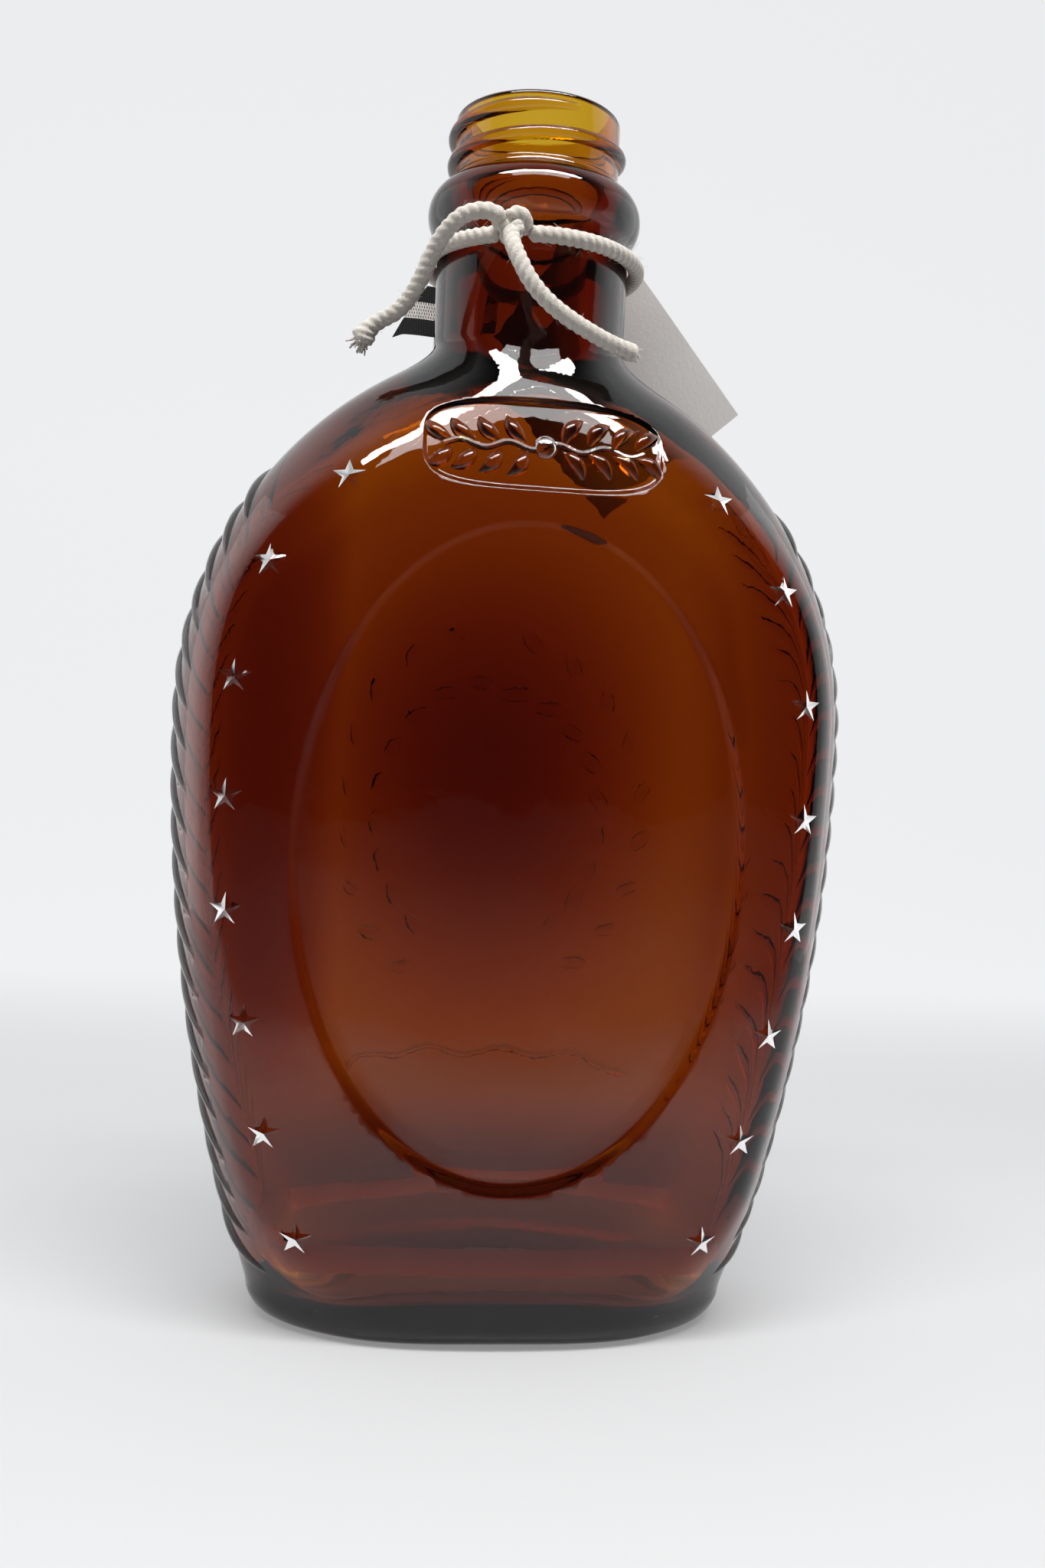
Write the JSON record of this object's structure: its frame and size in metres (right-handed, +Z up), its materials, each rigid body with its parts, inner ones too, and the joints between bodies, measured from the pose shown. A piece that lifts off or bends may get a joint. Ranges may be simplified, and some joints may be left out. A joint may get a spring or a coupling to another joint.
{
  "type": "flat glass flask",
  "caption": "Flat oval amber glass flask with a screw neck, rope-edged sides and a recessed oval panel, with a cotton cord, a hang tag and a ribbon end tied round the neck.",
  "frame": {"origin": "on the neck axis, on the plane the base stands on", "axes": "+Z up along the neck axis, +X to the right along the flask's width, +Y to the back; the front face with the stars and the oval panel looks along -Y"},
  "size_m": [0.1034, 0.048, 0.184],
  "materials": {
    "amber_glass": "clear amber pressed glass, fire-polished",
    "cotton": "undyed three-ply cotton twist",
    "card": "uncoated light grey card",
    "ribbon_weave": "woven ribbon, black edges and a white middle band"
  },
  "bodies": {
    "flask": {"glass_bottle": "amber_glass"},
    "cord": {"cord_loop": "cotton", "cord_knot": "cotton", "cord_tail_left": "cotton", "cord_tail_right": "cotton", "tag_ribbon": "ribbon_weave"},
    "tag": {"paper_tag": "card"}
  },
  "joints": [
    {"name": "cord_turn", "type": "hinge", "parent": "flask", "child": "cord", "pos_m": [0, 0, 0.1612], "axis": [0, 0, 1], "range_deg": [-4, 8]},
    {"name": "tag_turn", "type": "hinge", "parent": "cord", "child": "tag", "pos_m": [0.0059, 0.0165, 0.1599], "axis": [0, 0.9806, 0.1961], "range_deg": [-1, 20]}
  ]
}
